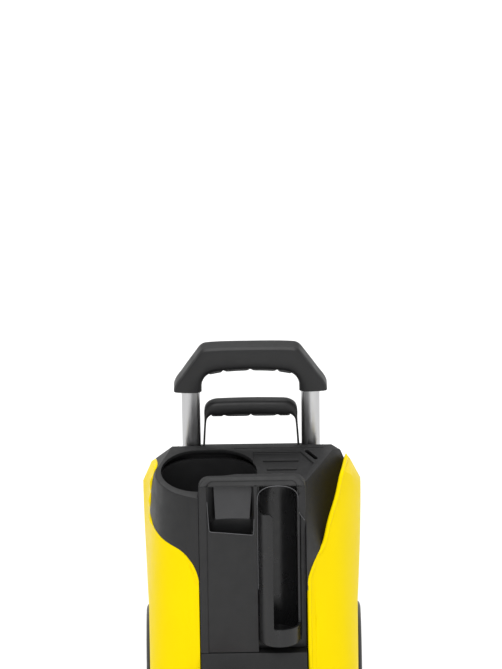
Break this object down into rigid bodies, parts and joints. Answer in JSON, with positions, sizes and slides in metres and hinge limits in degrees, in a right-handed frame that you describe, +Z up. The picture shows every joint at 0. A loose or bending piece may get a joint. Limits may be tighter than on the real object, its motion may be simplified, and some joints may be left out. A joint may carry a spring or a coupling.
{
  "type": "pressure washer",
  "caption": "Upright electric pressure washer on wheels: telescopic handle, bottle well, nozzle tray, holster and lance channel, yellow side shells, motor with axial pump.",
  "frame": {"origin": "on the floor, under the middle of the box that the machine fills", "axes": "+Z up, +Y towards the back with the handle and wheels, -Y the front with the storage module, +X to the right seen from the front"},
  "size_m": [0.305, 0.368, 0.588],
  "materials": {
    "black_housing": "fine texture",
    "yellow_shell": "gloss",
    "dark_cover": "fine texture",
    "knob": "satin",
    "pointer": "gloss",
    "switch_body": "matte",
    "brass": "turned",
    "grip": "fine texture",
    "grip_pad": "soft",
    "tube": "satin anodised",
    "guide": "matte",
    "rubber": "matte",
    "tyre": "matte",
    "rim": "fine texture",
    "hub_cap": "gloss",
    "steel": "machined",
    "lamination": "stacked sheet",
    "winding": "enamelled",
    "cast": "die cast",
    "fan": "matte"
  },
  "bodies": {
    "machine": {"base_chassis": "dark_cover", "cable_gland": "rubber", "cable_hook_base": "dark_cover", "capacitor": "switch_body", "carry_handle": "grip", "carry_pad": "grip_pad", "cylinder_block": "brass", "detergent_hose": "rubber", "detergent_valve": "guide", "front_cover": "dark_cover", "front_feet": "rubber", "hook_pivot": "dark_cover", "inlet_pipe": "brass", "lance_channel": "black_housing", "left_side_panel": "yellow_shell", "lower_bearing": "steel", "motor_can": "cast", "motor_cover": "cast", "motor_plate": "cast", "mount_screws": "steel", "outlet_connector": "brass", "outlet_pipe": "brass", "piston_springs": "steel", "pistons": "steel", "power_switch": "switch_body", "pump_housing": "cast", "rear_housing": "dark_cover", "rear_screws": "steel", "right_side_panel": "yellow_shell", "rubber_mounts": "rubber", "stator_core": "lamination", "stator_windings": "winding", "storage_module": "black_housing", "top_housing": "black_housing", "tube_guides": "guide", "upper_bearing": "steel", "valve_head": "cast", "water_inlet": "guide", "wheel_axles": "steel"},
    "telescopic_handle": {"left_tube": "tube", "right_tube": "tube", "tube_end_plugs": "guide", "grip_spigots": "guide", "grip_shell": "grip", "grip_pad": "grip_pad"},
    "left_wheel": {"left_tyre": "tyre", "left_rim": "rim", "left_hub_cap": "hub_cap"},
    "right_wheel": {"right_tyre": "tyre", "right_rim": "rim", "right_hub_cap": "hub_cap"},
    "selector": {"power_knob": "knob", "knob_pointer": "pointer"},
    "rotor": {"motor_shaft": "steel", "rotor_core": "lamination", "cooling_fan": "fan", "swash_plate": "steel"},
    "hook": {"cable_hook": "dark_cover"}
  },
  "joints": [
    {"name": "handle_slide", "type": "slide", "parent": "machine", "child": "telescopic_handle", "axis": [0, 0, 1], "range_m": [0, 0.36]},
    {"name": "left_wheel_spin", "type": "hinge", "parent": "machine", "child": "left_wheel", "pos_m": [-0.133, 0.094, 0.09], "axis": [1, 0, 0], "continuous": true},
    {"name": "right_wheel_spin", "type": "hinge", "parent": "machine", "child": "right_wheel", "pos_m": [0.133, 0.094, 0.09], "axis": [1, 0, 0], "continuous": true},
    {"name": "selector_turn", "type": "hinge", "parent": "machine", "child": "selector", "pos_m": [-0.03, -0.10496, 0.152], "axis": [0, -0.9197, 0.3925], "range_deg": [-90, 0]},
    {"name": "rotor_spin", "type": "hinge", "parent": "machine", "child": "rotor", "pos_m": [0, 0.021, 0.2], "axis": [0, 0, 1], "continuous": true},
    {"name": "hook_swivel", "type": "hinge", "parent": "machine", "child": "hook", "pos_m": [0, 0.139, 0.372], "axis": [0, 1, 0], "range_deg": [0, 180]}
  ]
}
